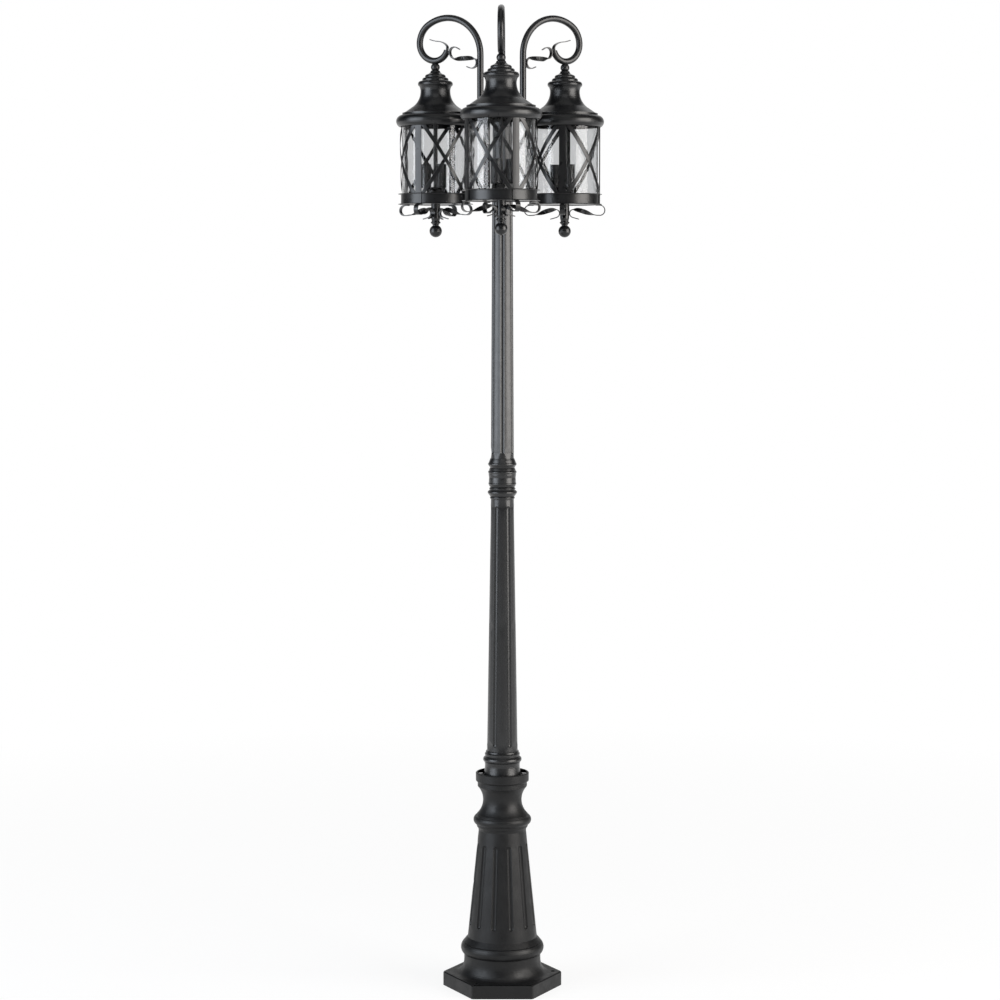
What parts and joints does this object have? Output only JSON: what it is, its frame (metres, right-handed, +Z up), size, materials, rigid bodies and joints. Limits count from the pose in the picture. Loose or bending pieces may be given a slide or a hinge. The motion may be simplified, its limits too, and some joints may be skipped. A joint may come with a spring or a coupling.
{
  "type": "outdoor post light",
  "caption": "Tall outdoor post light: caged glass lanterns hang from scrolled arms above a fluted round post on a hexagonal anchored foot.",
  "frame": {"origin": "on the ground under the post's axis, at the centre of the circle of anchor holes", "axes": "+Z up the post; the front lantern hangs towards -Y and +X is to the right as seen from the front"},
  "size_m": [0.4914, 0.4582, 2.2875],
  "materials": {
    "base_paint": "satin",
    "post_paint": "satin",
    "head_paint": "satin",
    "arm_paint": "satin",
    "lantern_paint": "satin",
    "clear_glass": "clear",
    "cluster_black": "satin",
    "sleeve_black": "satin",
    "holder_white": "glazed",
    "bolt_steel": "satin"
  },
  "bodies": {
    "post": {"base": "base_paint", "collar": "base_paint", "collar_bolts": "bolt_steel", "lower_shaft": "post_paint", "coupling": "post_paint", "upper_shaft": "post_paint", "hub": "head_paint", "arm_plate": "head_paint", "hub_fasteners": "bolt_steel", "arm_front": "arm_paint", "arm_scrolls_front": "arm_paint", "knob_front": "arm_paint", "arm_right": "arm_paint", "arm_scrolls_right": "arm_paint", "knob_right": "arm_paint", "arm_left": "arm_paint", "arm_scrolls_left": "arm_paint", "knob_left": "arm_paint"},
    "lantern_front": {"cap_front": "lantern_paint", "roof_front": "lantern_paint", "cage_front": "lantern_paint", "braces_front": "lantern_paint", "band_front": "lantern_paint", "glass_front": "clear_glass", "floor_front": "lantern_paint", "rod_front": "lantern_paint", "cluster_front": "cluster_black", "sleeves_front": "sleeve_black", "sockets_front": "holder_white", "feet_front": "lantern_paint", "stem_front": "lantern_paint"},
    "finial_front": {"ball_front": "lantern_paint"},
    "lantern_right": {"cap_right": "lantern_paint", "roof_right": "lantern_paint", "cage_right": "lantern_paint", "braces_right": "lantern_paint", "band_right": "lantern_paint", "glass_right": "clear_glass", "floor_right": "lantern_paint", "rod_right": "lantern_paint", "cluster_right": "cluster_black", "sleeves_right": "sleeve_black", "sockets_right": "holder_white", "feet_right": "lantern_paint", "stem_right": "lantern_paint"},
    "finial_right": {"ball_right": "lantern_paint"},
    "lantern_left": {"cap_left": "lantern_paint", "roof_left": "lantern_paint", "cage_left": "lantern_paint", "braces_left": "lantern_paint", "band_left": "lantern_paint", "glass_left": "clear_glass", "floor_left": "lantern_paint", "rod_left": "lantern_paint", "cluster_left": "cluster_black", "sleeves_left": "sleeve_black", "sockets_left": "holder_white", "feet_left": "lantern_paint", "stem_left": "lantern_paint"},
    "finial_left": {"ball_left": "lantern_paint"}
  },
  "joints": [
    {"name": "lantern_front_swivel", "type": "hinge", "parent": "post", "child": "lantern_front", "pos_m": [-0.00305, -0.17497, 2.1664], "axis": [0, 0, 1], "range_deg": [-170, 170]},
    {"name": "lantern_right_swivel", "type": "hinge", "parent": "post", "child": "lantern_right", "pos_m": [0.14677, 0.09531, 2.1664], "axis": [0, 0, 1], "range_deg": [-170, 170]},
    {"name": "lantern_left_swivel", "type": "hinge", "parent": "post", "child": "lantern_left", "pos_m": [-0.15661, 0.07808, 2.1664], "axis": [0, 0, 1], "range_deg": [-170, 170]},
    {"name": "finial_front_unscrew", "type": "hinge", "parent": "lantern_front", "child": "finial_front", "pos_m": [-0.00305, -0.17497, 1.8038], "axis": [0, 0, -1], "range_deg": [0, 180]},
    {"name": "finial_right_unscrew", "type": "hinge", "parent": "lantern_right", "child": "finial_right", "pos_m": [0.14677, 0.09531, 1.8038], "axis": [0, 0, -1], "range_deg": [0, 180]},
    {"name": "finial_left_unscrew", "type": "hinge", "parent": "lantern_left", "child": "finial_left", "pos_m": [-0.15661, 0.07808, 1.8038], "axis": [0, 0, -1], "range_deg": [0, 180]}
  ]
}
